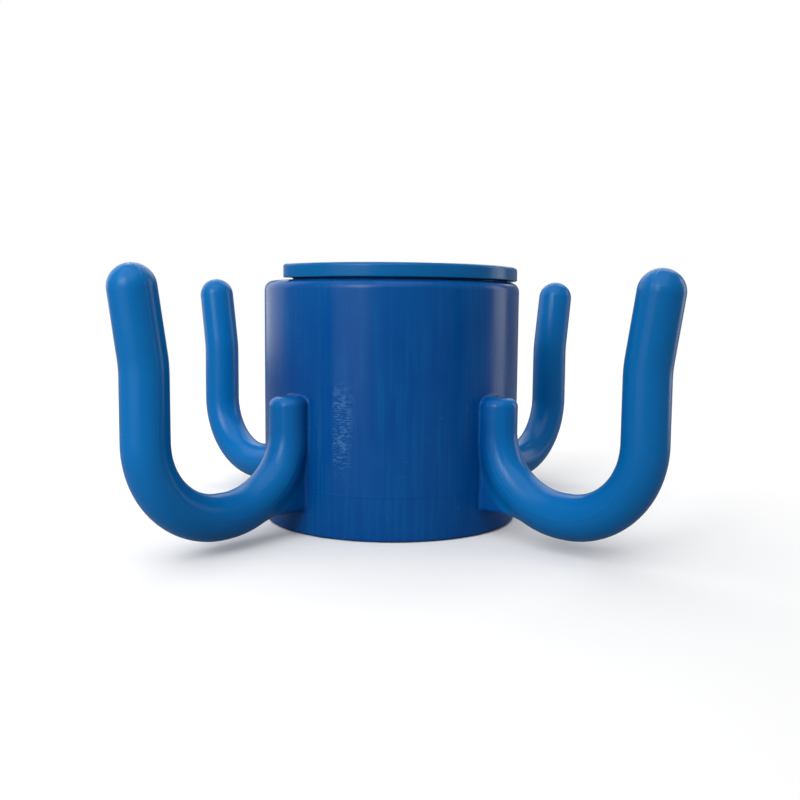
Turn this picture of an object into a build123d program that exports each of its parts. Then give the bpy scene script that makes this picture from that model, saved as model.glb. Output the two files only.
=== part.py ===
"""Four-hook hanger that clamps round an umbrella pole.

It is made of two plastic mouldings: a collar with four upturned hooks, and a C-shaped grip sleeve.
The sleeve drops into the collar's tapered bore from above, closes on the pole and wedges there.
The collar moulding is written as the collar and its four hooks, which meet face to face.

Frame, in millimetres: +Z up along the pole, with the origin on its axis at the collar's bottom face.
The hooks point along -Y (front), +X (right), +Y (rear) and -X (left).
"""

import math
import os

from build123d import *

# Collar: a tube with a tapered bore, from a mould that parts at the witness line
COLLAR_RADIUS = 35.5
COLLAR_HEIGHT = 65.8
WITNESS_HEIGHT = 11.5
WITNESS_STEP = 0.15  # how far the lower band is set back at the witness line
FOOT_RADIUS = 35.3  # the lower band narrows to this at the bottom
BORE_RADIUS_TOP = 32.3
BORE_RADIUS_BOTTOM = 31.4
COLLAR_TOP_ROUND = 2.5
COLLAR_FOOT_ROUND = 0.8
BORE_EDGE_ROUND = 0.5

# Hook: a round rod in a radial plane, from its root on the collar, down, out and up to its tip
HOOK_ANGLES = {"hook_right": 0, "hook_rear": 90, "hook_left": 180, "hook_front": 270}
ROOT_REACH = 38.0  # from the axis to the rod's centreline at the root
ROOT_TOP = 36.0  # the flat top of the rod's head
ROOT_TOP_ROUND = 2.4
SEAT_HEIGHT = 8.2  # the centreline's height at the bottom of the hook
INNER_BEND_REACH = 58.4  # from the axis to the centre of the bend next to the collar
INNER_BEND_RADIUS = 21.5  # over the lower half of that bend; the upper half is tighter
OUTER_BEND_RADIUS = 19.9
ARM_REACH = 79.6  # from the axis to the upright arm's centreline
LEAN_HEIGHT = 43.0  # where the arm starts to lean out
LEAN_BEND_RADIUS = 30.0
LEAN_ANGLE = 8.8
TIP_HEIGHT = 62.5  # the centre of the round tip
ROOT_ROD_RADIUS = 4.95
BEND_ROD_RADIUS = 5.35
SEAT_ROD_RADIUS = 5.7  # at the bottom of the hook, where a strap sits
ARM_ROD_RADIUS = 5.55
TIP_ROD_RADIUS = 5.45

# Web: the plate that fills the corner between the rod and the collar
WEB_THICKNESS = 7.4
WEB_HEIGHT_LOW = 6.3
WEB_HEIGHT_HIGH = 31.0  # inside the rod's head
WEB_EDGE_ROUND = 1.5
WEB_SINK = 1.6  # how far the hook's stock reaches into the collar wall before it is cut back
WEB_END_ANGLE = 62.0  # how far down the inner bend the web follows the rod

# Grip sleeve: a C-shaped tube with a flange, and ribs inside that grip the pole
POLE_RADIUS = 26.15
SLEEVE_CLEARANCE = 0.25  # between the sleeve and the bore, all round
SLEEVE_WALL = 2.6
SLEEVE_BOTTOM = 4.0
FLANGE_GAP = 0.4  # from the collar's top up to the flange
FLANGE_THICKNESS = 3.6
FLANGE_RADIUS = 34.9
FLANGE_BORE_RADIUS = 26.8
FLANGE_TOP_ROUND = 0.9
SLIT_ANGLE = 69.0
SLIT_DIRECTION = 225.0  # degrees from +X: the slit faces between the front and left hooks
SLIT_CORNER_ROUND = 1.0
RIB_COUNT = 12
RIB_WIDTH = 5.4
RIB_ROOT_RADIUS = 29.9  # inside the sleeve's wall at every height
RIB_TOP_SETBACK = 1.2  # how far below the flange's top the ribs end
LEAD_IN = 1.2  # the slope at both ends of the ribs, which lets a pole find its way in


def collar_outline():
    """The collar's outer profile from its bottom edge to its top edge, as (radius, height) points."""
    return [
        (FOOT_RADIUS, 0),
        (COLLAR_RADIUS - WITNESS_STEP, WITNESS_HEIGHT),
        (COLLAR_RADIUS, WITNESS_HEIGHT),
        (COLLAR_RADIUS, COLLAR_HEIGHT),
    ]


def bore_radius(height):
    """The radius of the collar's bore at a height: it narrows evenly from top to bottom."""
    share = height / COLLAR_HEIGHT
    return BORE_RADIUS_BOTTOM + share * (BORE_RADIUS_TOP - BORE_RADIUS_BOTTOM)


def make_collar():
    """The tube that carries the hooks."""
    with BuildPart() as collar:
        with BuildSketch(Plane.XZ):
            with BuildLine():
                Polyline(
                    *collar_outline(),
                    (BORE_RADIUS_TOP, COLLAR_HEIGHT),
                    (BORE_RADIUS_BOTTOM, 0),
                    close=True,
                )
            make_face()
        revolve(axis=Axis.Z)
        rims = collar.edges().filter_by(GeomType.CIRCLE)
        top_rims = rims.group_by(Axis.Z)[-1].sort_by(SortBy.RADIUS)
        foot_rims = rims.group_by(Axis.Z)[0].sort_by(SortBy.RADIUS)
        fillet(top_rims[-1], COLLAR_TOP_ROUND)
        fillet(foot_rims[-1], COLLAR_FOOT_ROUND)
        fillet([top_rims[0], foot_rims[0]], BORE_EDGE_ROUND)
    return collar


def root_line(top, end_angle):
    """Draws the centreline down from a height and round the bend next to the collar, to an angle of it."""
    lower_centre = (INNER_BEND_REACH, SEAT_HEIGHT + INNER_BEND_RADIUS)
    across = math.sqrt(0.5)  # the bend's two arcs meet halfway, at 45 degrees
    upper_radius = (INNER_BEND_REACH - ROOT_REACH - INNER_BEND_RADIUS * across) / (1 - across)
    shift = (INNER_BEND_RADIUS - upper_radius) * across
    upper_centre = (lower_centre[0] - shift, lower_centre[1] - shift)
    Line((ROOT_REACH, top), (ROOT_REACH, upper_centre[1]))
    CenterArc(upper_centre, upper_radius, 180, 45)
    CenterArc(lower_centre, INNER_BEND_RADIUS, 225, end_angle - 45)


def hook_path():
    """The rod's centreline, from its head to its tip, in the radial plane of the hook along +X."""
    outer_centre = (ARM_REACH - OUTER_BEND_RADIUS, SEAT_HEIGHT + OUTER_BEND_RADIUS)
    lean = math.radians(LEAN_ANGLE)
    lean_top = (
        ARM_REACH + LEAN_BEND_RADIUS * (1 - math.cos(lean)),
        LEAN_HEIGHT + LEAN_BEND_RADIUS * math.sin(lean),
    )
    tip_reach = lean_top[0] + (TIP_HEIGHT - lean_top[1]) * math.tan(lean)
    with BuildLine(Plane.XZ) as path:
        root_line(ROOT_TOP, 90)
        Line((INNER_BEND_REACH, SEAT_HEIGHT), (outer_centre[0], SEAT_HEIGHT))
        CenterArc(outer_centre, OUTER_BEND_RADIUS, 270, 90)
        Line((ARM_REACH, outer_centre[1]), (ARM_REACH, LEAN_HEIGHT))
        CenterArc((ARM_REACH + LEAN_BEND_RADIUS, LEAN_HEIGHT), LEAN_BEND_RADIUS, 180, -LEAN_ANGLE)
        Line(lean_top, (tip_reach, TIP_HEIGHT))
    return path.wire()


def rod_sections(path):
    """Where the rod's section is set, as (share of the path, rod radius), from root to tip."""
    root_run, upper_bend, lower_bend, seat_run, outer_bend = [edge.length for edge in path.edges()][:5]
    inner_bend = root_run + upper_bend
    seat = inner_bend + lower_bend + seat_run / 2
    arm = inner_bend + lower_bend + seat_run + outer_bend
    return [
        (0, ROOT_ROD_RADIUS),
        (inner_bend / path.length, BEND_ROD_RADIUS),
        (seat / path.length, SEAT_ROD_RADIUS),
        (arm / path.length, ARM_ROD_RADIUS),
        (1, TIP_ROD_RADIUS),
    ]


def make_web():
    """The plate between the rod's centreline and the collar, with its lower edges rounded."""
    start = COLLAR_RADIUS - WEB_SINK
    end_angle = math.radians(WEB_END_ANGLE)
    toe = (
        INNER_BEND_REACH - INNER_BEND_RADIUS * math.cos(end_angle),
        SEAT_HEIGHT + INNER_BEND_RADIUS * (1 - math.sin(end_angle)),
    )
    with BuildPart() as web:
        with BuildSketch(Plane.XZ):
            with BuildLine():
                root_line(WEB_HEIGHT_HIGH, WEB_END_ANGLE)
                Polyline(toe, (toe[0], WEB_HEIGHT_LOW), (start, WEB_HEIGHT_LOW), (start, WEB_HEIGHT_HIGH))
                Line((start, WEB_HEIGHT_HIGH), (ROOT_REACH, WEB_HEIGHT_HIGH))
            make_face()
        extrude(amount=WEB_THICKNESS / 2, both=True)
        lower_edges = web.edges().group_by(Axis.Z)[0].filter_by(Axis.X)
        fillet(lower_edges, WEB_EDGE_ROUND)
    return web


def make_hook():
    """The hook that points along +X: rod and web, cut back to the collar's outside."""
    path = hook_path()
    sections = rod_sections(path)
    with BuildPart() as hook:
        for share, radius in sections:
            with BuildSketch(Plane(path @ share, z_dir=path % share)):
                Circle(radius)
        sweep(path=path, multisection=True)
        head = hook.faces().filter_by(Axis.Z)[0]
        fillet(head.edges(), ROOT_TOP_ROUND)
        with Locations(path @ 1):
            Sphere(TIP_ROD_RADIUS)
        add(make_web().part)
        with BuildSketch(Plane.XZ):
            with BuildLine():
                Polyline(*collar_outline(), (0, COLLAR_HEIGHT), (0, 0), close=True)
            make_face()
        revolve(axis=Axis.Z, mode=Mode.SUBTRACT)
    return hook


def make_sleeve():
    """The C-shaped tube with its flange and its inner grip ribs."""
    flange_bottom = COLLAR_HEIGHT + FLANGE_GAP
    flange_top = flange_bottom + FLANGE_THICKNESS
    ribs_top = flange_top - RIB_TOP_SETBACK
    outer_top = bore_radius(flange_bottom) - SLEEVE_CLEARANCE
    outer_bottom = bore_radius(SLEEVE_BOTTOM) - SLEEVE_CLEARANCE
    half_slit = SLIT_ANGLE / 2
    rib_pitch = (360 - SLIT_ANGLE) / RIB_COUNT
    first_rib = SLIT_DIRECTION + half_slit + rib_pitch / 2
    with BuildPart() as sleeve:
        with BuildSketch(Plane.XZ):
            with BuildLine():
                Polyline(
                    (outer_bottom - SLEEVE_WALL, SLEEVE_BOTTOM),
                    (outer_bottom, SLEEVE_BOTTOM),
                    (outer_top, flange_bottom),
                    (FLANGE_RADIUS, flange_bottom),
                    (FLANGE_RADIUS, flange_top),
                    (FLANGE_BORE_RADIUS, flange_top),
                    (FLANGE_BORE_RADIUS, flange_bottom),
                    (outer_top - SLEEVE_WALL, flange_bottom),
                    close=True,
                )
            make_face()
        revolve(axis=Axis.Z)
        flange_rim = sleeve.edges().filter_by(GeomType.CIRCLE).group_by(Axis.Z)[-1].sort_by(SortBy.RADIUS)[-1]
        fillet(flange_rim, FLANGE_TOP_ROUND)
        with BuildSketch(Plane.XY.offset(SLEEVE_BOTTOM)):
            with PolarLocations(0, RIB_COUNT, first_rib, rib_pitch * (RIB_COUNT - 1), endpoint=True):
                Rectangle(RIB_ROOT_RADIUS, RIB_WIDTH, align=(Align.MIN, Align.CENTER))
        extrude(amount=ribs_top - SLEEVE_BOTTOM)
        with BuildSketch(Plane.XZ):
            with BuildLine():
                Polyline(
                    (0, SLEEVE_BOTTOM),
                    (POLE_RADIUS + LEAD_IN / 2, SLEEVE_BOTTOM),
                    (POLE_RADIUS, SLEEVE_BOTTOM + LEAD_IN),
                    (POLE_RADIUS, ribs_top - LEAD_IN),
                    (POLE_RADIUS + LEAD_IN / 2, ribs_top),
                    (0, ribs_top),
                    close=True,
                )
            make_face()
        revolve(axis=Axis.Z, mode=Mode.SUBTRACT)
        with BuildSketch():
            with BuildLine():
                reach = 2 * FLANGE_RADIUS  # well past the flange
                low_corner = PolarLine((0, 0), reach, SLIT_DIRECTION - half_slit) @ 1
                high_corner = PolarLine((0, 0), reach, SLIT_DIRECTION + half_slit) @ 1
                Line(low_corner, high_corner)
            make_face()
        extrude(amount=flange_top, mode=Mode.SUBTRACT)
        upright_edges = sleeve.edges().filter_by(Axis.Z)
        flange_corners = upright_edges.sort_by(lambda edge: math.hypot(edge.center().X, edge.center().Y))[-2:]
        fillet(flange_corners, SLIT_CORNER_ROUND)
    return sleeve


def main():
    os.makedirs("parts", exist_ok=True)
    collar = make_collar()
    collar.part.label = "collar"
    export_step(collar.part, "parts/collar.step")
    hook = make_hook()
    for name, angle in HOOK_ANGLES.items():
        turned = hook.part.rotate(Axis.Z, angle)
        turned.label = name
        export_step(turned, f"parts/{name}.step")
    sleeve = make_sleeve()
    sleeve.part.label = "grip_sleeve"
    export_step(sleeve.part, "parts/grip_sleeve.step")


main()
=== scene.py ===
"""The looks of a four-hook collar that clamps round an umbrella pole.

Two glossy blue mouldings: the collar with its four hooks, and the C-shaped grip sleeve inside it.
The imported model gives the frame, in metres: +Z up the pole, the origin at the collar's bottom face.
"""

import math
from typing import NamedTuple

import bpy
import numpy as np
from bpy.props import FloatProperty, FloatVectorProperty, IntProperty, PointerProperty
from mathutils import Matrix, Vector


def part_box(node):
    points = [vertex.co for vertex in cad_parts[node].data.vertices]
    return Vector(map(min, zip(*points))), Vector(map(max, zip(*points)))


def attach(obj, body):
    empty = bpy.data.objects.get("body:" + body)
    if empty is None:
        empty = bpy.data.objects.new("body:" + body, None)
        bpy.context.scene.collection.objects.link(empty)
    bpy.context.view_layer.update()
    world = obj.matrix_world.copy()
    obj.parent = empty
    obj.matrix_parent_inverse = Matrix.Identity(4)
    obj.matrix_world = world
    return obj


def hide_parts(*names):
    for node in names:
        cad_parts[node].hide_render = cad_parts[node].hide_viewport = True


bl_info = {
    "name": "Umbrella Pole Hook Collar",
    "version": (1, 0, 0),
    "blender": (4, 5, 0),
    "location": "3D View > Sidebar > Hook Collar",
    "description": "Builds the hook collar, its grip sleeve, their moulded plastic and a plain studio",
    "category": "Add Mesh",
}

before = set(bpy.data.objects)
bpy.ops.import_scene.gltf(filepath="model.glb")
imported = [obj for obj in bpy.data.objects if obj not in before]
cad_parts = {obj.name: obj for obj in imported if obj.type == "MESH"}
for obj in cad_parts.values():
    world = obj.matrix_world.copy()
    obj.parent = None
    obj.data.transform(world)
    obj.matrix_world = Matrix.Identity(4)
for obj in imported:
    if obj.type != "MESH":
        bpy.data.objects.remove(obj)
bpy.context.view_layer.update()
COLLAR_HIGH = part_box("collar")[1]
HOOK_LOW, HOOK_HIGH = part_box("hook_right")
SLEEVE_LOW, SLEEVE_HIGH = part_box("grip_sleeve")

MM = 0.001
TURN = 2 * math.pi
SOFT_EDGE = 0.3 * MM  # the small rounding of the sleeve's edges
PLASTIC_IOR = 1.46
HOOK_TURNS = {"hook_right": 0, "hook_rear": 90, "hook_left": 180, "hook_front": 270}


def length(name, description, default):
    """A length in metres that a user may change."""
    return FloatProperty(
        name=name, description=description, default=default, min=0, precision=5, unit="LENGTH"
    )


def angle(name, description, degrees):
    """An angle that a user may change."""
    default = math.radians(degrees)
    return FloatProperty(name=name, description=description, default=default, subtype="ANGLE")


def colour(name, description, default):
    """A linear colour that a user may change."""
    return FloatVectorProperty(
        name=name, description=description, default=default, subtype="COLOR", min=0, max=1
    )


def share(name, description, default):
    """A value from 0 to 1 that a user may change."""
    return FloatProperty(name=name, description=description, default=default, min=0, max=1)


# Sizes


class CollarSizes(bpy.types.PropertyGroup):
    """The tube that carries the hooks."""

    radius: length("Radius", "Outer radius above the witness line", COLLAR_HIGH.x)
    height: length("Height", "Height from the foot to the top edge", COLLAR_HIGH.z)
    foot_radius: length("Foot radius", "Outer radius at the bottom", 35.3 * MM)
    witness_height: length("Witness height", "Height of the mould's parting line", 11.5 * MM)
    witness_ledge: length("Witness ledge", "How far the band below that line is set back", 0.06 * MM)
    bore_top: length("Bore at the top", "Inner radius at the top", 32.3 * MM)
    bore_bottom: length("Bore at the bottom", "Inner radius at the bottom", 31.4 * MM)
    top_round: length("Top round", "Rounding of the outer top edge", 2.5 * MM)
    foot_round: length("Foot round", "Rounding of the outer bottom edge", 0.8 * MM)
    bore_round: length("Bore round", "Rounding of the bore's two edges", 0.5 * MM)
    steps: IntProperty(name="Steps", description="Facets round the collar", default=288, min=32)


class HookSizes(bpy.types.PropertyGroup):
    """The rod of a hook, from its root on the collar to its tip, and the web below the root."""

    root_reach: length("Root reach", "From the axis to the rod's middle at the root", 38.0 * MM)
    root_top: length("Root top", "Height of the root's head", 36.0 * MM)
    root_round: length("Root round", "Rounding of the root's head", 2.4 * MM)
    seat_height: length("Seat height", "Height of the rod's middle at the bottom of the hook", 8.2 * MM)
    inner_reach: length("Inner bend reach", "From the axis to the middle of the inner bend", 58.4 * MM)
    inner_bend: length("Inner bend", "Radius of the inner bend's lower half", 21.5 * MM)
    outer_bend: length("Outer bend", "Radius of the bend below the arm", 19.9 * MM)
    arm_reach: length("Arm reach", "From the axis to the arm's middle", 79.6 * MM)
    lean_height: length("Lean height", "Where the arm starts to lean out", 43.0 * MM)
    lean_bend: length("Lean bend", "Radius of the bend into the lean", 30.0 * MM)
    lean: angle("Lean", "How far the arm leans out", 8.8)
    tip_height: length("Tip height", "Height of the middle of the round tip", 62.5 * MM)
    root_rod: length("Rod at the root", "Rod radius at the root", 4.95 * MM)
    bend_rod: length("Rod in the bend", "Rod radius halfway round the inner bend", 5.35 * MM)
    seat_rod: length("Rod at the seat", "Rod radius at the bottom of the hook", 5.7 * MM)
    arm_rod: length("Rod in the arm", "Rod radius at the foot of the arm", 5.55 * MM)
    tip_rod: length("Rod at the tip", "Rod radius at the tip", 5.45 * MM)
    web_bottom: length("Web bottom", "Height of the web's lower edge", 6.3 * MM)
    web_half: length("Half web", "Half of the web's thickness at its lower edge", 3.7 * MM)
    web_round: length("Web round", "Rounding of the web's lower edges", 1.5 * MM)
    web_fillet: length("Web fillet", "Fillet between rod and web", 1.0 * MM)
    root_fillet: length("Root fillet", "Fillet between the hook and the collar", 0.8 * MM)
    grain: length("Grain", "Size of a hook's facets", 0.5 * MM)


class SleeveSizes(bpy.types.PropertyGroup):
    """The C-shaped grip sleeve."""

    bottom: length("Bottom", "Height of the sleeve's lower end", SLEEVE_LOW.z)
    top: length("Top", "Height of the flange's top face", SLEEVE_HIGH.z)
    flange_radius: length("Flange radius", "Outer radius of the flange", SLEEVE_HIGH.x)
    flange_thickness: length("Flange thickness", "Thickness of the flange", 3.6 * MM)
    flange_bore: length("Flange bore", "Inner radius of the flange", 26.8 * MM)
    flange_round: length("Flange round", "Rounding of the flange's upper edge", 0.9 * MM)
    wall: length("Wall", "Thickness of the sleeve's wall", 2.6 * MM)
    clearance: length("Clearance", "Gap between the sleeve and the bore", 0.25 * MM)
    grip_radius: length("Grip radius", "Radius of the ribs' crests, which hold the pole", 26.15 * MM)
    rib_width: length("Rib width", "Width of each grip rib", 5.4 * MM)
    rib_setback: length("Rib setback", "How far below the flange's top the ribs end", 1.2 * MM)
    lead_in: length("Lead-in", "Height of the slope at both ends of the ribs", 1.2 * MM)
    rib_count: IntProperty(name="Ribs", description="How many grip ribs there are", default=12, min=1)
    slit: angle("Slit", "Width of the slit", 69)
    slit_direction: angle("Slit direction", "Where the slit faces, from +X", 225)


class PlasticFinish(bpy.types.PropertyGroup):
    """The colours and gloss of the plastic; the collar's and hooks' blues hold painted shade and painted
    glow.
    """

    # One plastic: the collar's deeper blue is painted shade from the dark pole behind its wall, the hooks'
    # lighter blue a painted glow of light through the thin rods.
    collar: colour("Collar", "The collar's deep blue", (0.0006, 0.056, 0.242))
    hooks: colour("Hooks", "The hooks' lighter blue", (0.0016, 0.129, 0.390))
    sleeve: colour("Sleeve", "The sleeve's blue", (0.0020, 0.108, 0.310))
    cloud: colour("Cloud", "The faint cloudiness of the plastic", (0.0030, 0.130, 0.370))
    scuff: colour("Scuff", "The pale blue of scuffed plastic", (0.06, 0.20, 0.42))
    scuff_strength: share("Scuff strength", "How pale the scuffs are", 0.35)
    roughness: share("Roughness", "How matt the plastic is", 0.19)
    gloss: share("Gloss", "How strongly the plastic mirrors its surroundings", 0.17)
    scuffed_at: angle("Scuffed at", "Direction of the collar's scuffed patch, from +X", -67)
    scuffed_low: length("Scuffed from", "Height where the scuffed patch starts", 15 * MM)
    scuffed_high: length("Scuffed up to", "Height where the scuffed patch ends", 42 * MM)


class StudioSettings(bpy.types.PropertyGroup):
    """The camera and the plain studio."""

    azimuth: angle("Azimuth", "Where the camera stands, from -Y towards +X", 43.37)
    distance: length("Distance", "From the object's axis to the camera", 263.5 * MM)
    height: length("Height", "The camera's height", 58.3 * MM)
    swing: angle("Swing", "How far the camera is turned off the axis", 0.55)
    tilt: angle("Tilt", "How far the camera looks down", 5.58)
    roll: angle("Roll", "How far the camera is rolled", 0.52)
    lens: FloatProperty(name="Lens", description="Focal length in mm on a 36 mm sensor", default=41.83, min=1)
    floor: colour("Floor", "The floor's pale grey", (0.86, 0.86, 0.86))
    floor_bounce: colour("Floor bounce", "The floor's colour in the light it throws up", (0.3, 0.3, 0.3))
    floor_size: length("Floor size", "How far the floor reaches before it has faded out", 0.55)
    backdrop: share("Backdrop", "How bright the surroundings look to the camera", 1.0)
    surroundings: share("Surroundings", "How brightly the surroundings light the object", 0.28)


# Meshes


def make_object(name, points, faces):
    """A smooth mesh object at the origin."""
    mesh = bpy.data.meshes.new(name)
    mesh.from_pydata([tuple(p) for p in points], [], [tuple(int(i) for i in f) for f in faces])
    mesh.update()
    mesh.polygons.foreach_set("use_smooth", [True] * len(mesh.polygons))
    made = bpy.data.objects.new(name, mesh)
    bpy.context.scene.collection.objects.link(made)
    return made


def arc(centre, radius, start, end, count):
    """Points on an arc in the (radius, height) plane, from one angle to another in degrees."""
    angles = np.radians(np.linspace(start, end, count + 1))
    return [(centre[0] + radius * math.cos(a), centre[1] + radius * math.sin(a)) for a in angles]


def straight(start, end, count):
    """Points strictly between two points of a profile."""
    shares = np.arange(1, count) / count
    return [(start[0] + (end[0] - start[0]) * s, start[1] + (end[1] - start[1]) * s) for s in shares]


def rounded_union(a, b, radius):
    """Joins two distances, with a fillet of that radius in the corner between them."""
    in_corner = np.hypot(np.maximum(radius - a, 0), np.maximum(radius - b, 0))
    return np.maximum(radius, np.minimum(a, b)) - in_corner


def rounded_overlap(a, b, radius):
    """The distance to what two distances share, with its edge rounded to that radius."""
    past_edge = np.hypot(np.maximum(radius + a, 0), np.maximum(radius + b, 0))
    return np.minimum(-radius, np.maximum(a, b)) + past_edge


def gradient(field, points, reach=0.01 * MM):
    """The direction in which a distance grows at each point, as unit vectors, and its steepness."""
    slopes = []
    for axis in range(3):
        shift = np.zeros(3)
        shift[axis] = reach
        slopes.append((field(points + shift) - field(points - shift)) / (2 * reach))
    slopes = np.stack(slopes, 1)
    steepness = np.maximum(np.linalg.norm(slopes, axis=1, keepdims=True), 1e-6)
    return slopes / steepness, steepness[:, 0]


def surface_net(field, low, high, step):
    """Quads round the surface where field, a distance over points, is zero. Returns points and quads."""
    axes = [np.arange(low[i], high[i] + step, step) for i in range(3)]
    grid = np.stack(np.meshgrid(*axes, indexing="ij"), -1)
    inside = field(grid.reshape(-1, 3)).reshape(grid.shape[:3]) < 0
    cells = tuple(n - 1 for n in inside.shape)
    corner_count = np.zeros(cells, int)
    for corner in np.ndindex(2, 2, 2):
        window = tuple(slice(c, c + n) for c, n in zip(corner, cells))
        corner_count += inside[window]
    crossed = (corner_count > 0) & (corner_count < 8)
    number = np.full(cells, -1)
    number[crossed] = np.arange(crossed.sum())
    points = (np.argwhere(crossed) + 0.5) * step + np.array(low)
    quads = []
    for axis in range(3):
        across = [(axis + 1) % 3, (axis + 2) % 3]
        starts = inside.take(range(cells[axis]), axis)
        ends = inside.take(range(1, cells[axis] + 1), axis)
        places = np.argwhere(starts != ends)
        ring = []
        for steps in ((-1, -1), (0, -1), (0, 0), (-1, 0)):
            cell = places.copy()
            cell[:, across] += steps
            ring.append(number[tuple(cell.T)])
        ring = np.stack(ring, 1)
        inwards = ~starts[tuple(places.T)]
        ring[inwards] = ring[inwards][:, ::-1]
        quads.append(ring)
    return points, np.concatenate(quads)


def settle(points, quads, field, rounds, step):
    """Evens the points out along the surface and moves them exactly onto it.

    The last rounds only move them onto it.
    """
    last_rounds = 2
    evening = 0.6
    longest_move = 0.5 * step
    ends = np.concatenate([quads[:, [i, (i + 1) % 4]] for i in range(4)])
    ends = np.concatenate([ends, ends[:, ::-1]])
    count = np.bincount(ends[:, 0], minlength=len(points))[:, None]
    for turn in range(rounds):
        if turn < rounds - last_rounds:
            sums = [np.bincount(ends[:, 0], points[ends[:, 1], i], len(points)) for i in range(3)]
            points = points + evening * (np.stack(sums, 1) / count - points)
        direction, steepness = gradient(field, points)
        travel = np.clip(field(points) / steepness, -longest_move, longest_move)
        points = points - direction * travel[:, None]
    return points


# Collar


def outer_radius(collar, height):
    """The collar's outer radius at a height, or at an array of heights."""
    ledge = collar.radius - collar.witness_ledge
    heights = [0, collar.witness_height, collar.witness_height + collar.witness_ledge, collar.height]
    return np.interp(height, heights, [collar.foot_radius, ledge, collar.radius, collar.radius])


def bore_radius(collar, height):
    """The radius of the collar's bore at a height."""
    return collar.bore_bottom + (collar.bore_top - collar.bore_bottom) * height / collar.height


def collar_profile(collar):
    """The collar's closed section, as (radius, height) points, anticlockwise."""
    foot, top, bore = collar.foot_round, collar.top_round, collar.bore_round
    foot_corner = (float(outer_radius(collar, foot)) - foot, foot)
    witness_low = (collar.radius - collar.witness_ledge, collar.witness_height)
    witness_high = (collar.radius, collar.witness_height + collar.witness_ledge)
    top_corner = (collar.radius - top, collar.height - top)
    bore_top = (bore_radius(collar, collar.height) + bore, collar.height - bore)
    bore_foot = (bore_radius(collar, 0) + bore, bore)
    outside_low = arc(foot_corner, foot, -90, 0, 8)
    outside_high = arc(top_corner, top, 0, 90, 12)
    inside_high = arc(bore_top, bore, 90, 180, 5)
    inside_low = arc(bore_foot, bore, 180, 270, 5)
    return [
        *outside_low,
        *straight(outside_low[-1], witness_low, 5),
        witness_low,
        witness_high,
        *straight(witness_high, outside_high[0], 24),
        *outside_high,
        *inside_high,
        *straight(inside_high[-1], inside_low[0], 24),
        *inside_low,
        *straight(inside_low[-1], outside_low[0], 4),
    ]


def make_collar(collar):
    """The collar, turned from its section."""
    profile = np.array(collar_profile(collar))
    turns = np.arange(collar.steps) * TURN / collar.steps
    reach, height = profile.T
    rows = [np.stack([reach * math.cos(t), reach * math.sin(t), height], 1) for t in turns]
    size = len(profile)
    faces = []
    for i in range(collar.steps):
        here, ahead = i * size, (i + 1) % collar.steps * size
        for j in range(size):
            up = (j + 1) % size
            faces.append((here + j, ahead + j, ahead + up, here + up))
    made = make_object("collar_tube", np.concatenate(rows), faces)
    weighted = made.modifiers.new("even_shading", "WEIGHTED_NORMAL")
    weighted.weight = 80  # large faces count for more than small ones
    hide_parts("collar")
    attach(made, "hook_collar")
    return made


# Hooks


class Run:
    """A straight stretch of the rod's middle line, in the plane of (reach, height)."""

    def __init__(self, start, end):
        self.start = np.array(start)
        self.length = math.dist(start, end)
        self.along = (np.array(end) - self.start) / self.length

    def nearest(self, places):
        """For each place: the nearest point of this stretch, its direction there, and how far along it is."""
        travel = np.clip((places - self.start) @ self.along, 0, self.length)
        return self.start + travel[:, None] * self.along, np.broadcast_to(self.along, places.shape), travel


class Bend:
    """A round stretch of the rod's middle line: it turns about a centre, from an angle, by an angle."""

    def __init__(self, centre, radius, start, turn):
        self.centre = np.array(centre)
        self.radius = radius
        self.start = start
        self.turn = turn
        self.length = radius * abs(turn)

    def nearest(self, places):
        """For each place: the nearest point of this stretch, its direction there, and how far along it is."""
        away = places - self.centre
        turned = np.arctan2(away[:, 1], away[:, 0]) - self.start
        turned = (turned + math.pi) % TURN - math.pi
        sense = math.copysign(1, self.turn)
        turned = np.clip(turned * sense, 0, abs(self.turn))
        at = self.start + turned * sense
        out = np.stack([np.cos(at), np.sin(at)], 1)
        direction = sense * np.stack([-out[:, 1], out[:, 0]], 1)
        return self.centre + self.radius * out, direction, turned * self.radius


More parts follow.
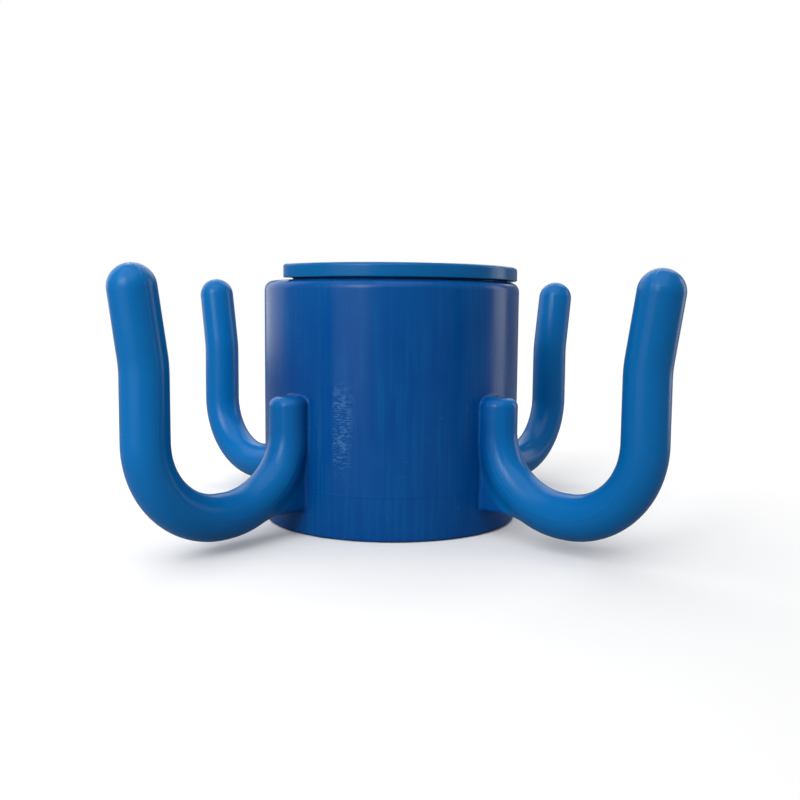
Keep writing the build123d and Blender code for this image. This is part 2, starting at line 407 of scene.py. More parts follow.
class HookShape:
    """The hook that points along +X, as distances from its surface."""

    pad = 1.0 * MM  # how far the hook's mesh goes on over the collar, past the fillet
    pad_depth = 1.0 * MM
    proud = 0.002 * MM  # the pad stands this much above the collar, so that the two never flicker
    above_root = 8 * MM  # the rod is drawn this far past its head, and rounded off there
    draft = 0.02  # how much each side of the web thins for each unit of height

    def __init__(self, sizes, collar):
        self.sizes = s = sizes
        self.collar = collar
        self.inner_centre = np.array((s.inner_reach, s.seat_height + s.inner_bend))
        across = math.sqrt(0.5)  # the two arcs of the inner bend meet halfway, at 45 degrees
        upper_bend = (s.inner_reach - s.root_reach - s.inner_bend * across) / (1 - across)
        upper_centre = self.inner_centre - (s.inner_bend - upper_bend) * across
        outer_centre = (s.arm_reach - s.outer_bend, s.seat_height + s.outer_bend)
        lean_centre = (s.arm_reach + s.lean_bend, s.lean_height)
        lean_top = (
            lean_centre[0] - s.lean_bend * math.cos(s.lean),
            lean_centre[1] + s.lean_bend * math.sin(s.lean),
        )
        tip = (lean_top[0] + (s.tip_height - lean_top[1]) * math.tan(s.lean), s.tip_height)
        quarter = math.pi / 2
        self.line = [
            Run((s.root_reach, s.root_top + self.above_root), (s.root_reach, upper_centre[1])),
            Bend(upper_centre, upper_bend, math.pi, quarter / 2),
            Bend(self.inner_centre, s.inner_bend, math.pi + quarter / 2, quarter / 2),
            Run((self.inner_centre[0], s.seat_height), (outer_centre[0], s.seat_height)),
            Bend(outer_centre, s.outer_bend, -quarter, quarter),
            Run((s.arm_reach, outer_centre[1]), (s.arm_reach, s.lean_height)),
            Bend(lean_centre, s.lean_bend, math.pi, -s.lean),
            Run(lean_top, tip),
        ]
        ends = np.cumsum([stretch.length for stretch in self.line])
        self.stations = [ends[0], ends[1], (ends[2] + ends[3]) / 2, ends[4], ends[-1]]
        self.radii = [s.root_rod, s.bend_rod, s.seat_rod, s.arm_rod, s.tip_rod]

    def follow(self, points):
        """Distance from the rod's middle line in the hook's plane, side of it, and distance along it."""
        places = points[:, [0, 2]]
        gap = np.full(len(points), np.inf)
        side = np.zeros(len(points))
        travelled = np.zeros(len(points))
        before = 0
        for stretch in self.line:
            near, direction, travel = stretch.nearest(places)
            offset = places - near
            distance = np.linalg.norm(offset, axis=1)
            closer = distance < gap
            gap[closer] = distance[closer]
            side[closer] = (direction[:, 0] * offset[:, 1] - direction[:, 1] * offset[:, 0])[closer]
            travelled[closer] = before + travel[closer]
            before += stretch.length
        return gap, side, travelled

    def rod(self, points):
        """Distance to the round rod, with its head rounded off at the root."""
        gap, side, travelled = self.follow(points)
        radius = np.interp(travelled, self.stations, self.radii)
        rod = np.hypot(gap, points[:, 1]) - radius
        near_root = points[:, 0] < self.sizes.inner_reach - self.sizes.inner_bend / 2
        capped = rounded_overlap(rod, points[:, 2] - self.sizes.root_top, self.sizes.root_round)
        return np.where(near_root, capped, rod)

    def web(self, points):
        """Distance to the plate between the rod and the collar, which thins a little upwards."""
        s = self.sizes
        reach, height = points[:, 0], points[:, 2]
        from_centre = np.hypot(reach - self.inner_centre[0], height - self.inner_centre[1])
        toe = s.inner_reach - s.inner_bend / 2
        outline = np.maximum.reduce([
            s.web_bottom - height,
            height - self.inner_centre[1],
            s.inner_bend - from_centre,
            reach - toe,
        ])
        thinning = self.draft * (height - s.web_bottom)
        return rounded_overlap(outline, np.abs(points[:, 1]) - s.web_half + thinning, s.web_round)

    def wall(self, points):
        """Distance outwards from the collar's outside."""
        return np.hypot(points[:, 0], points[:, 1]) - outer_radius(self.collar, points[:, 2])

    def hook(self, points):
        """Distance to the rod and its web."""
        return rounded_union(self.rod(points), self.web(points), self.sizes.web_fillet)

    def rooted(self, points):
        """Distance to the hook and the collar together, with the fillet between them."""
        return rounded_union(self.hook(points), self.wall(points), self.sizes.root_fillet)

    def piece(self, points):
        """Distance to the hook's own piece: the hook, its fillet, and a thin pad let into the collar."""
        hook = self.hook(points)
        wall = self.wall(points)
        joined = rounded_union(hook, wall, self.sizes.root_fillet) - self.proud
        kept = np.maximum(hook - self.sizes.root_fillet - self.pad, -wall - self.pad_depth)
        return np.maximum(joined, kept)


def make_hooks(sizes, collar):
    """The four hooks: one mesh, turned to each of its places."""
    shape = HookShape(sizes, collar)
    margin = 3 * sizes.grain
    fillet_room = 4 * MM
    settle_rounds = 14
    low = (collar.radius - fillet_room, -HOOK_HIGH.y - fillet_room, HOOK_LOW.z - margin)
    high = (HOOK_HIGH.x + margin, HOOK_HIGH.y + fillet_room, HOOK_HIGH.z + margin)
    points, quads = surface_net(shape.piece, low, high, sizes.grain)
    points = settle(points, quads, shape.piece, settle_rounds, sizes.grain)
    normals = gradient(shape.rooted, points)[0]
    side = shape.follow(points)[1]
    made = []
    for node, degrees in HOOK_TURNS.items():
        turn = np.array(Matrix.Rotation(math.radians(degrees), 3, "Z"))
        hook = make_object(f"{node}_moulding", points @ turn.T, quads)
        hook.data.attributes.new("side_of_middle", "FLOAT", "POINT").data.foreach_set("value", side)
        hook.data.normals_split_custom_set_from_vertices([tuple(n) for n in normals @ turn.T])
        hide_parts(node)
        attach(hook, "hook_collar")
        made.append(hook)
    return made


# Sleeve


def sleeve_outside(sleeve, collar):
    """The sleeve's section from the top of the flange's bore, over the flange and down the outside."""
    under = sleeve.top - sleeve.flange_thickness
    soft = SOFT_EDGE
    corner = (sleeve.flange_radius - sleeve.flange_round, sleeve.top - sleeve.flange_round)
    lower = (sleeve.flange_radius - soft, under + soft)
    inner = (sleeve.flange_bore + soft, sleeve.top - soft)
    tube_top = (bore_radius(collar, under) - sleeve.clearance, under - soft)
    tube_foot = (bore_radius(collar, sleeve.bottom) - sleeve.clearance, sleeve.bottom + soft)
    return [
        *arc(inner, soft, 180, 90, 3),
        *straight((inner[0], sleeve.top), (corner[0], sleeve.top), 3),
        *arc(corner, sleeve.flange_round, 90, 0, 6),
        *arc(lower, soft, 0, -90, 3),
        *arc((tube_top[0] + soft, tube_top[1]), soft, 90, 180, 5),
        *straight(tube_top, tube_foot, 12),
        *arc((tube_foot[0] - soft, tube_foot[1]), soft, 0, -90, 5),
    ]


def sleeve_inside(sleeve, collar, ribbed):
    """The sleeve's section up its inside, from the lower end to the flange's bore."""
    under = sleeve.top - sleeve.flange_thickness
    ribs_top = sleeve.top - sleeve.rib_setback
    foot = bore_radius(collar, sleeve.bottom) - sleeve.clearance - sleeve.wall
    head = bore_radius(collar, under) - sleeve.clearance - sleeve.wall
    if ribbed:
        end = sleeve.grip_radius + sleeve.lead_in / 2
        crest_foot = (sleeve.grip_radius, sleeve.bottom + sleeve.lead_in)
        crest_head = (sleeve.grip_radius, under)
        top = [(sleeve.grip_radius, ribs_top - sleeve.lead_in), (end, ribs_top)]
        return [(end, sleeve.bottom), crest_foot, *straight(crest_foot, crest_head, 12), crest_head, *top]
    wall_foot = (foot, sleeve.bottom + sleeve.lead_in)
    wall_head = (head, under)
    top = [(sleeve.flange_bore, under), (sleeve.flange_bore, ribs_top)]
    return [(foot, sleeve.bottom), wall_foot, *straight(wall_foot, wall_head, 12), wall_head, *top]


def sleeve_stations(sleeve):
    """Where the sleeve's section is set round the axis: (angle, offset across the rib, ribbed)."""
    start = sleeve.slit_direction + sleeve.slit / 2
    pitch = (TURN - sleeve.slit) / sleeve.rib_count
    half = sleeve.rib_width / 2
    stations = []
    for rib in range(sleeve.rib_count):
        middle = start + (rib + 0.5) * pitch
        edge = math.asin(half / sleeve.grip_radius)
        before = np.linspace(middle - pitch / 2, middle - edge, 5)[:-1]
        after = np.linspace(middle + edge, middle + pitch / 2, 5)[1:]
        stations += [(a, 0, False) for a in (before if rib == 0 else before[1:])]
        stations += [(middle, -half, False), (middle, -half, True)]
        stations += [(middle + edge * s, 0, True) for s in (-0.6, -0.2, 0.2, 0.6)]
        stations += [(middle, half, True), (middle, half, False)]
        stations += [(a, 0, False) for a in after]
    return stations


def sleeve_ring(profile, middle, offset):
    """A section placed at an angle, or beside a rib's middle, at the same offset all the way out."""
    ring = []
    for radius, height in profile:
        at = middle + (math.asin(offset / radius) if offset else 0)
        ring.append((radius * math.cos(at), radius * math.sin(at), height))
    return ring


def make_sleeve(sleeve, collar):
    """The C-shaped sleeve: its section carried round from one side of the slit to the other."""
    outside = sleeve_outside(sleeve, collar)
    rings = []
    for middle, offset, ribbed in sleeve_stations(sleeve):
        profile = sleeve_inside(sleeve, collar, ribbed) + outside
        rings.append(sleeve_ring(profile, middle, offset))
    size = len(rings[0])
    faces = []
    for i in range(len(rings) - 1):
        here, ahead = i * size, (i + 1) * size
        for j in range(size):
            up = (j + 1) % size
            faces.append((here + j, here + up, ahead + up, ahead + j))
    faces.append(tuple(range(size))[::-1])
    faces.append(tuple(range((len(rings) - 1) * size, len(rings) * size)))
    made = make_object("grip_sleeve_moulding", [p for ring in rings for p in ring], faces)
    weld = made.modifiers.new("weld", "WELD")
    weld.merge_threshold = 0.001 * MM  # joins the points that a rib's two sections share
    bevel = made.modifiers.new("soft_edges", "BEVEL")
    bevel.width = SOFT_EDGE
    bevel.segments = 3
    bevel.limit_method = "ANGLE"
    bevel.angle_limit = math.radians(50)
    made.modifiers.new("even_shading", "WEIGHTED_NORMAL")
    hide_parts("grip_sleeve")
    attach(made, "sleeve")
    return made


# Plastic


def add_node(tree, kind, **settings):
    """A new node, with its settings."""
    made = tree.nodes.new(kind)
    for name, value in settings.items():
        setattr(made, name, value)
    return made


def feed(tree, socket, source):
    """Links a source socket to a socket, or gives it a plain value."""
    if isinstance(source, bpy.types.NodeSocket):
        tree.links.new(source, socket)
    else:
        socket.default_value = source


def calculate(tree, operation, *values, clamp=False):
    """A Math node's result."""
    made = add_node(tree, "ShaderNodeMath", operation=operation, use_clamp=clamp)
    for socket, value in zip(made.inputs, values):
        feed(tree, socket, value)
    return made.outputs[0]


def product(tree, first, *others):
    """Values multiplied together."""
    for other in others:
        first = calculate(tree, "MULTIPLY", first, other)
    return first


def fade(tree, value, start, end):
    """Goes smoothly from 0 to 1 as a value goes from start to end."""
    made = add_node(tree, "ShaderNodeMapRange", interpolation_type="SMOOTHSTEP")
    for name, source in (("Value", value), ("From Min", start), ("From Max", end)):
        feed(tree, made.inputs[name], source)
    return made.outputs["Result"]


def noise(tree, vector, scale, detail=2.0, roughness=0.5):
    """A Noise texture's factor."""
    made = add_node(tree, "ShaderNodeTexNoise")
    feed(tree, made.inputs["Vector"], vector)
    feed(tree, made.inputs["Scale"], scale)
    made.inputs["Detail"].default_value = detail
    made.inputs["Roughness"].default_value = roughness
    return made.outputs["Fac"]


def mix_colours(tree, factor, first, second):
    """Two colours mixed by a factor. Each is a socket or three plain values."""
    made = add_node(tree, "ShaderNodeMix", data_type="RGBA")
    feed(tree, made.inputs["Factor"], factor)
    first_colour, second_colour, mixed = made.inputs[6], made.inputs[7], made.outputs[2]
    for socket, source in ((first_colour, first), (second_colour, second)):
        feed(tree, socket, source if isinstance(source, bpy.types.NodeSocket) else (*source, 1))
    return mixed


def new_group(name, inputs, outputs):
    """An empty node group. Its inputs are numbers, or a place where None is given; its outputs are numbers.

    Returns the group, the sockets that give its inputs, and the sockets that take its outputs.
    """
    group = bpy.data.node_groups.new(name, "ShaderNodeTree")
    for label, default in inputs.items():
        kind = "NodeSocketVector" if default is None else "NodeSocketFloat"
        socket = group.interface.new_socket(label, in_out="INPUT", socket_type=kind)
        if default is not None:
            socket.default_value = default
    for label in outputs:
        group.interface.new_socket(label, in_out="OUTPUT", socket_type="NodeSocketFloat")
    return group, group.nodes.new("NodeGroupInput").outputs, group.nodes.new("NodeGroupOutput").inputs


def place_group(tree, group, **values):
    """A node group placed in a material. Values are named as its inputs, with _ for a space."""
    made = add_node(tree, "ShaderNodeGroup", node_tree=group)
    for name, source in values.items():
        feed(tree, made.inputs[name.replace("_", " ")], source)
    return made.outputs


def round_the_axis(tree, place):
    """Splits a place into its distance from the axis, its direction from it, and its height."""
    split = add_node(tree, "ShaderNodeSeparateXYZ")
    feed(tree, split.inputs[0], place)
    x, y, height = split.outputs
    squares = calculate(tree, "ADD", product(tree, x, x), product(tree, y, y))
    reach = calculate(tree, "SQRT", squares)
    return reach, calculate(tree, "DIVIDE", x, reach), calculate(tree, "DIVIDE", y, reach), height


def moulded_skin_group():
    """The faint waves and cloudiness of a moulded skin."""
    inputs = {"Place": None, "Wave Height": 0.01 * MM}
    group, given, result = new_group("moulded_skin", inputs, ["Height", "Cloud"])
    wide_wave, narrow_wave, cloud_size = 7 * MM, 1.6 * MM, 18 * MM
    narrow_share = 0.16
    place = given["Place"]
    wide = noise(group, place, 1 / wide_wave, 1.0)
    narrow = noise(group, place, 1 / narrow_wave, 2.0)
    waves = calculate(group, "ADD", wide, product(group, narrow, narrow_share))
    feed(group, result["Height"], product(group, waves, given["Wave Height"]))
    feed(group, result["Cloud"], noise(group, place, 1 / cloud_size, 3.0))
    return group


def drag_lines_group():
    """Fine upright lines that the mould leaves as the part is pushed out of it."""
    inputs = {"Place": None, "Line Width": 1.2 * MM, "Line Height": 0.003 * MM}
    group, given, result = new_group("drag_lines", inputs, ["Height", "Lines"])
    line_length, patch_size = 30 * MM, 16 * MM
    least_shown = 0.3
    place = given["Place"]
    _, east, north, height = round_the_axis(group, place)
    around = calculate(group, "DIVIDE", COLLAR_HIGH.x, given["Line Width"])
    join = add_node(group, "ShaderNodeCombineXYZ")
    feed(group, join.inputs[0], product(group, east, around))
    feed(group, join.inputs[1], product(group, north, around))
    feed(group, join.inputs[2], calculate(group, "DIVIDE", height, line_length))
    lines = fade(group, noise(group, join.outputs[0], 1.0, 3.0, 0.65), 0.40, 0.68)
    patches = fade(group, noise(group, place, 1 / patch_size, 1.0), 0.35, 0.65)
    strength = calculate(group, "MULTIPLY_ADD", patches, 1 - least_shown, least_shown)
    shown = product(group, lines, strength)
    feed(group, result["Height"], product(group, shown, given["Line Height"]))
    feed(group, result["Lines"], shown)
    return group


def scuffs_group():
    """Fine short scratches from handling, thicker where Amount is high."""
    group, given, result = new_group("scuffs", {"Place": None, "Amount": 0.2}, ["Mask"])
    stretch = 7  # how many times longer than wide a scratch is
    break_size, patch_size = 2.2 * MM, 9 * MM
    place = given["Place"]
    total = None
    for tilt, spacing in ((0.5, 1.1 * MM), (-0.7, 0.8 * MM), (1.3, 1.5 * MM)):
        turned = add_node(group, "ShaderNodeMapping", vector_type="TEXTURE")
        feed(group, turned.inputs["Vector"], place)
        turned.inputs["Rotation"].default_value = (tilt, tilt / 2, tilt)
        turned.inputs["Scale"].default_value = (1, 1, stretch)
        rolling = noise(group, turned.outputs[0], 1 / spacing, 0.0)
        off_line = calculate(group, "ABSOLUTE", calculate(group, "SUBTRACT", rolling, 0.5))
        thin = fade(group, off_line, 0.02, 0.0)
        total = thin if total is None else calculate(group, "MAXIMUM", total, thin)
    broken = fade(group, noise(group, place, 1 / break_size, 2.0), 0.5, 0.62)
    patch = fade(group, noise(group, place, 1 / patch_size, 2.0), 0.40, 0.62)
    feed(group, result["Mask"], product(group, total, broken, given["Amount"], patch))
    return group


def rub_marks_group():
    """Short level dashes where something has rubbed round the part."""
    inputs = {"Place": None, "Amount": 0.0, "Mark Depth": 0.012 * MM}
    group, given, result = new_group("rub_marks", inputs, ["Height", "Mask"])
    dash_width, break_size = 0.40 * MM, 2.5 * MM
    stretch = 4.5  # how many times longer than wide a dash is
    paleness = 0.5
    place = given["Place"]
    total = None
    for slope in (-0.16, 0.12):
        turned = add_node(group, "ShaderNodeMapping", vector_type="TEXTURE")
        feed(group, turned.inputs["Vector"], place)
        turned.inputs["Rotation"].default_value = (slope, slope, 0)
        turned.inputs["Scale"].default_value = (stretch, stretch, 1)
        dash = fade(group, noise(group, turned.outputs[0], 1 / dash_width, 1.0), 0.53, 0.60)
        total = dash if total is None else calculate(group, "MAXIMUM", total, dash)
    ragged = fade(group, noise(group, place, 1 / break_size, 3.0), 0.32, 0.52)
    shown = product(group, ragged, given["Amount"], total)
    feed(group, result["Mask"], product(group, shown, paleness))
    feed(group, result["Height"], product(group, shown, given["Mark Depth"], -1))
    return group


def parting_line_group():
    """The thin raised line where two halves of the mould meet. Distance is 0 on the line."""
    inputs = {"Distance": 0.0, "Width": 0.3 * MM, "Line Height": 0.03 * MM}
    group, given, result = new_group("parting_line", inputs, ["Height"])
    off = calculate(group, "ABSOLUTE", given["Distance"])
    ridge = fade(group, off, given["Width"], 0.0)
    feed(group, result["Height"], product(group, ridge, given["Line Height"]))
    return group


def effect_groups():
    """The node groups that the plastics share, built once."""
    builders = {
        "moulded_skin": moulded_skin_group,
        "drag_lines": drag_lines_group,
        "scuffs": scuffs_group,
        "rub_marks": rub_marks_group,
        "parting_line": parting_line_group,
    }
    return {name: bpy.data.node_groups.get(name) or build() for name, build in builders.items()}


def new_plastic(name, finish):
    """A glossy plastic material. Returns the material, its tree, its shader and the place in the frame."""
    material = bpy.data.materials.new(name)
    material.use_nodes = True
    tree = material.node_tree
    shader = tree.nodes["Principled BSDF"]
    shader.inputs["IOR"].default_value = PLASTIC_IOR
    shader.inputs["Specular IOR Level"].default_value = finish.gloss
    place = add_node(tree, "ShaderNodeTexCoord").outputs["Object"]
    return material, tree, shader, place


def finish_plastic(tree, shader, place, finish, base, heights, scuffed):
    """Joins a plastic's base colour, its heights and its scuffs to the shader."""
    cloudiness, cloud_roughness = 0.10, 0.07
    scuff_roughness, scuff_depth = 0.15, 0.012 * MM
    effects = effect_groups()
    skin = place_group(tree, effects["moulded_skin"], Place=place)
    cloud = fade(tree, skin["Cloud"], 0.3, 0.7)
    clouded = mix_colours(tree, product(tree, cloud, cloudiness), base, finish.cloud)
    scuffs = place_group(tree, effects["scuffs"], Place=place, Amount=scuffed)["Mask"]
    paleness = product(tree, scuffs, finish.scuff_strength)
    feed(tree, shader.inputs["Base Color"], mix_colours(tree, paleness, clouded, finish.scuff))
    rough = calculate(tree, "MULTIPLY_ADD", cloud, cloud_roughness, finish.roughness)
    rough = calculate(tree, "MULTIPLY_ADD", scuffs, scuff_roughness, rough, clamp=True)
    feed(tree, shader.inputs["Roughness"], rough)
    total = calculate(tree, "MULTIPLY_ADD", scuffs, -scuff_depth, skin["Height"])
    for height in heights:
        total = calculate(tree, "ADD", total, height)
    bump = add_node(tree, "ShaderNodeBump")
    bump.inputs["Strength"].default_value = 1
    bump.inputs["Distance"].default_value = 1
    feed(tree, bump.inputs["Height"], total)
    feed(tree, shader.inputs["Normal"], bump.outputs["Normal"])


def web_shade_and_flash(tree, finish, collar, reach, base):
    """A hook's web and the rod's sides near the collar in the collar's darker blue, as painted shade, and the
    height of the flash line down its rod.
    """
    middle = add_node(tree, "ShaderNodeAttribute", attribute_name="side_of_middle").outputs["Fac"]
    beside_rod = fade(tree, calculate(tree, "ABSOLUTE", middle), 4.6 * MM, 6.6 * MM)
    by_collar = fade(tree, reach, collar.radius + 14 * MM, collar.radius + 8 * MM)
    # Painted shade: off the rod's middle line and near the collar the blue goes back to the collar's darker
    # blue.
    base = mix_colours(tree, product(tree, beside_rod, by_collar), base, finish.collar)
    parting_line = effect_groups()["parting_line"]
    flash = place_group(tree, parting_line, Distance=middle, Width=0.22 * MM, Line_Height=0.05 * MM)
    return base, flash["Height"]


def witness_line(tree, collar, height):
    """The height of the line that the mould leaves round the collar."""
    below = calculate(tree, "SUBTRACT", height, collar.witness_height)
    parting_line = effect_groups()["parting_line"]
    return place_group(tree, parting_line, Distance=below, Width=0.4 * MM, Line_Height=0.03 * MM)["Height"]


def top_rings(tree, collar, height):
    """Faint level rings that fade in towards the collar's top edge."""
    ring_width = 0.6 * MM
    level = add_node(tree, "ShaderNodeCombineXYZ")
    feed(tree, level.inputs[2], calculate(tree, "DIVIDE", height, ring_width))
    near_top = fade(tree, height, collar.height - 18 * MM, collar.height - 4 * MM)
    return product(tree, noise(tree, level.outputs[0], 1.0, 1.0), near_top)


def rubbed_patch(tree, finish, east, north, height):
    """1 where the collar has been rubbed and 0 elsewhere, sharp at one upright side and soft at the other."""
    sharp_side = [math.sin(math.radians(degrees)) for degrees in (-4.5, -3)]
    soft_side = math.sin(math.radians(7))
    end_fade = 8 * MM
    cosine, sine = math.cos(finish.scuffed_at), math.sin(finish.scuffed_at)
    towards = calculate(tree, "MULTIPLY_ADD", north, sine, product(tree, east, cosine))
    sideways = calculate(tree, "MULTIPLY_ADD", east, -sine, product(tree, north, cosine))
    return product(
        tree,
        fade(tree, sideways, *sharp_side),
        fade(tree, sideways, soft_side, 0.0),
        calculate(tree, "GREATER_THAN", towards, 0),
        fade(tree, height, finish.scuffed_low, finish.scuffed_low + end_fade),
        fade(tree, height, finish.scuffed_high, finish.scuffed_high - end_fade),
    )


def moulding_plastic(name, finish, collar, on_hook):
    """The plastic of the collar and its hooks: painted shade in deep blue on the wall, painted glow in
    lighter blue out on the thin rods.
    """
    drag_strength, ring_strength, ring_height = 0.26, 0.22, 0.004 * MM
    scuffed = 0.18
    material, tree, shader, place = new_plastic(name, finish)
    effects = effect_groups()
    reach, east, north, height = round_the_axis(tree, place)
    # Painted light: the base blue fades from the collar's painted-shade blue at the wall to the hooks'
    # painted-glow blue out on the rods.
    off_wall = fade(tree, reach, collar.radius + 0.4 * MM, collar.radius + 8 * MM)
    base = mix_colours(tree, off_wall, finish.collar, finish.hooks)
    drag = place_group(tree, effects["drag_lines"], Place=place)
    base = mix_colours(tree, product(tree, drag["Lines"], drag_strength), base, finish.cloud)
    if on_hook:
        base, flash = web_shade_and_flash(tree, finish, collar, reach, base)
        on_wall = calculate(tree, "SUBTRACT", 1, off_wall)
        heights = [flash, product(tree, drag["Height"], on_wall)]
    else:
        rings = top_rings(tree, collar, height)
        base = mix_colours(tree, product(tree, rings, ring_strength), base, finish.cloud)
        patch = rubbed_patch(tree, finish, east, north, height)
        rubbed = place_group(tree, effects["rub_marks"], Place=place, Amount=patch)
        base = mix_colours(tree, rubbed["Mask"], base, finish.scuff)
        ring_relief = product(tree, rings, ring_height)
        heights = [drag["Height"], witness_line(tree, collar, height), ring_relief, rubbed["Height"]]
    finish_plastic(tree, shader, place, finish, base, heights, scuffed)
    return material


def sleeve_plastic(name, finish):
    """The plastic of the grip sleeve, a little more scuffed than the collar's."""
    scuffed = 0.25
    material, tree, shader, place = new_plastic(name, finish)
    drag = place_group(tree, effect_groups()["drag_lines"], Place=place)
    finish_plastic(tree, shader, place, finish, finish.sleeve, [drag["Height"]], scuffed)
    return material


# Studio


class Lamp(NamedTuple):
    """A rectangular lamp, placed by angles in degrees round the object. Azimuth 0 is the camera's."""

    name: str
    azimuth: float
    elevation: float
    distance: float
    size: tuple
    power: float
    target: tuple = (0, 0, COLLAR_HIGH.z / 2)
    spread: float = 180


BESIDE_FRONT_HOOK = (-0.04, -HOOK_HIGH.x, COLLAR_HIGH.z / 2)
LAMPS = [
    Lamp("key_window", -37, 12, 0.30, (0.20, 0.33), 0.22),
    Lamp("hook_spot", -37, 20, 0.45, (0.30, 0.56), 0.24, BESIDE_FRONT_HOOK, 42),
    Lamp("left_window", -128, 25, 0.50, (0.45, 0.50), 0.8),
    Lamp("top_softbox", -20, 60, 0.90, (1.1, 1.1), 5.9),
    Lamp("right_window", 108, 10, 0.60, (0.20, 0.50), 0.8),
    Lamp("rear_softbox", 170, 45, 0.90, (1.0, 0.8), 4),
]


def add_light(lamp, facing):
    """Adds a lamp, turned with the camera's azimuth and facing its target."""
    data = bpy.data.lights.new(lamp.name, "AREA")
    data.shape = "RECTANGLE"
    data.size, data.size_y = lamp.size
    data.energy = lamp.power
    data.spread = math.radians(lamp.spread)
    made = bpy.data.objects.new(lamp.name, data)
    bpy.context.scene.collection.objects.link(made)
    a, e = math.radians(facing + lamp.azimuth), math.radians(lamp.elevation)
    back = Vector((math.sin(a) * math.cos(e), -math.cos(a) * math.cos(e), math.sin(e)))
    made.location = Vector((0, 0, COLLAR_HIGH.z / 2)) + back * lamp.distance
    ray = made.location - Vector(lamp.target)
    made.rotation_euler = ray.to_track_quat("Z", "Y").to_euler()
    made.visible_camera = False


def make_camera(studio):
    """The camera, placed and turned as the studio's settings say."""
    data = bpy.data.cameras.new("main_camera")
    data.lens = studio.lens
    data.sensor_width = 36
    data.clip_start = 0.01
    camera = bpy.data.objects.new("main_camera", data)
    bpy.context.scene.collection.objects.link(camera)
    stand = Matrix.Rotation(studio.azimuth, 3, "Z")
    swing, tilt, roll = studio.swing, studio.tilt, studio.roll
    right = Vector((math.cos(swing), -math.sin(swing), 0))
    ahead = Vector((math.sin(swing) * math.cos(tilt), math.cos(swing) * math.cos(tilt), -math.sin(tilt)))
    up = right.cross(ahead)
    rolled_right = right * math.cos(roll) + up * math.sin(roll)
    rolled_up = up * math.cos(roll) - right * math.sin(roll)
    turn = Matrix((stand @ rolled_right, stand @ rolled_up, stand @ -ahead)).transposed()
    place = stand @ Vector((0, -studio.distance, 0)) + Vector((0, 0, studio.height))
    camera.matrix_world = Matrix.Translation(place) @ turn.to_4x4()
    return camera


def make_floor(studio):
    """A pale floor that fades out into the pale surroundings, so that no horizon shows."""
    half = studio.floor_size
    solid_reach = half * 0.25
    drop = 0.1 * MM  # keeps the floor clear of the collar's bottom face
    corners = [(-half, -half, 0), (half, -half, 0), (half, half, 0), (-half, half, 0)]
    floor = make_object("studio_floor", corners, [(0, 1, 2, 3)])
    floor.location.z = -drop
    material = bpy.data.materials.new("studio_floor")
    material.use_nodes = True
    tree = material.node_tree
    shader = tree.nodes["Principled BSDF"]
    seen = add_node(tree, "ShaderNodeLightPath").outputs["Is Camera Ray"]
    feed(tree, shader.inputs["Base Color"], mix_colours(tree, seen, studio.floor_bounce, studio.floor))
    shader.inputs["Roughness"].default_value = 0.9
    shader.inputs["Specular IOR Level"].default_value = 0
    reach = round_the_axis(tree, add_node(tree, "ShaderNodeTexCoord").outputs["Object"])[0]
    near = fade(tree, reach, half, solid_reach)
    from_below = add_node(tree, "ShaderNodeNewGeometry").outputs["Backfacing"]
    shown = product(tree, near, calculate(tree, "SUBTRACT", 1, from_below))
    feed(tree, shader.inputs["Alpha"], shown)
    floor.data.materials.append(material)


def make_world(studio):
    """Pale surroundings for the camera, and dimmer ones for what the plastic mirrors."""
    world = bpy.data.worlds.new("studio_world")
    world.use_nodes = True
    tree = world.node_tree
    seen = add_node(tree, "ShaderNodeLightPath").outputs["Is Camera Ray"]
    extra = studio.backdrop - studio.surroundings
    strength = calculate(tree, "MULTIPLY_ADD", seen, extra, studio.surroundings)
    feed(tree, tree.nodes["Background"].inputs["Strength"], strength)
    tree.nodes["Background"].inputs["Color"].default_value = (1, 1, 1, 1)
    bpy.context.scene.world = world


# Operators


class HOOKCOLLAR_OT_collar(bpy.types.Operator):
    """Builds the collar tube"""

    bl_idname = "hookcollar.collar"
    bl_label = "Build Collar"

    def execute(self, context):
        scene = context.scene
        made = make_collar(scene.collar_sizes)
        material = moulding_plastic("collar_plastic", scene.finish, scene.collar_sizes, False)
        made.data.materials.append(material)
        return {"FINISHED"}


class HOOKCOLLAR_OT_hooks(bpy.types.Operator):
    """Builds the four hooks"""

    bl_idname = "hookcollar.hooks"
    bl_label = "Build Hooks"

    def execute(self, context):
        scene = context.scene
        material = moulding_plastic("hook_plastic", scene.finish, scene.collar_sizes, True)
        for hook in make_hooks(scene.hook_sizes, scene.collar_sizes):
            hook.data.materials.append(material)
        return {"FINISHED"}


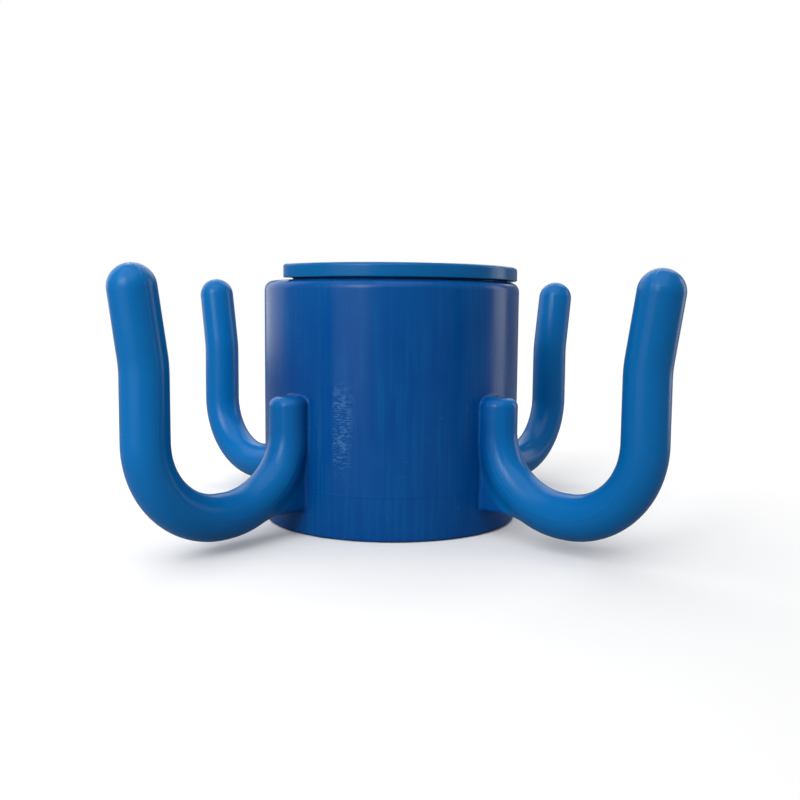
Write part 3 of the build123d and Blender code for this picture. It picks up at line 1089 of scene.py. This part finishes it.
class HOOKCOLLAR_OT_sleeve(bpy.types.Operator):
    """Builds the grip sleeve"""

    bl_idname = "hookcollar.sleeve"
    bl_label = "Build Sleeve"

    def execute(self, context):
        scene = context.scene
        made = make_sleeve(scene.sleeve_sizes, scene.collar_sizes)
        made.data.materials.append(sleeve_plastic("sleeve_plastic", scene.finish))
        return {"FINISHED"}


class HOOKCOLLAR_OT_studio(bpy.types.Operator):
    """Builds the floor, the lights and the camera"""

    bl_idname = "hookcollar.studio"
    bl_label = "Build Studio"

    def execute(self, context):
        studio = context.scene.studio
        make_floor(studio)
        make_world(studio)
        for lamp in LAMPS:
            add_light(lamp, math.degrees(studio.azimuth))
        context.scene.camera = make_camera(studio)
        context.scene.view_settings.view_transform = "Standard"
        return {"FINISHED"}


class HOOKCOLLAR_PT_panel(bpy.types.Panel):
    """Lists the steps that build the hook collar"""

    bl_idname = "HOOKCOLLAR_PT_panel"
    bl_label = "Hook Collar"
    bl_space_type = "VIEW_3D"
    bl_region_type = "UI"
    bl_category = "Hook Collar"

    def draw(self, context):
        for step in STEPS:
            self.layout.operator(step.bl_idname)


SETTINGS = {
    "collar_sizes": CollarSizes,
    "hook_sizes": HookSizes,
    "sleeve_sizes": SleeveSizes,
    "finish": PlasticFinish,
    "studio": StudioSettings,
}
STEPS = [HOOKCOLLAR_OT_studio, HOOKCOLLAR_OT_collar, HOOKCOLLAR_OT_hooks, HOOKCOLLAR_OT_sleeve]


def register():
    """Registers every class and hangs the settings on the scene."""
    for made in (*SETTINGS.values(), *STEPS, HOOKCOLLAR_PT_panel):
        bpy.utils.register_class(made)
    for name, group in SETTINGS.items():
        setattr(bpy.types.Scene, name, PointerProperty(type=group))


def unregister():
    """Takes the settings off the scene and unregisters every class."""
    for name in SETTINGS:
        delattr(bpy.types.Scene, name)
    for made in (HOOKCOLLAR_PT_panel, *reversed(STEPS), *SETTINGS.values()):
        bpy.utils.unregister_class(made)


def main():
    register()
    for step in STEPS:
        family, name = step.bl_idname.split(".")
        getattr(getattr(bpy.ops, family), name)()


if __name__ == "__main__":
    main()
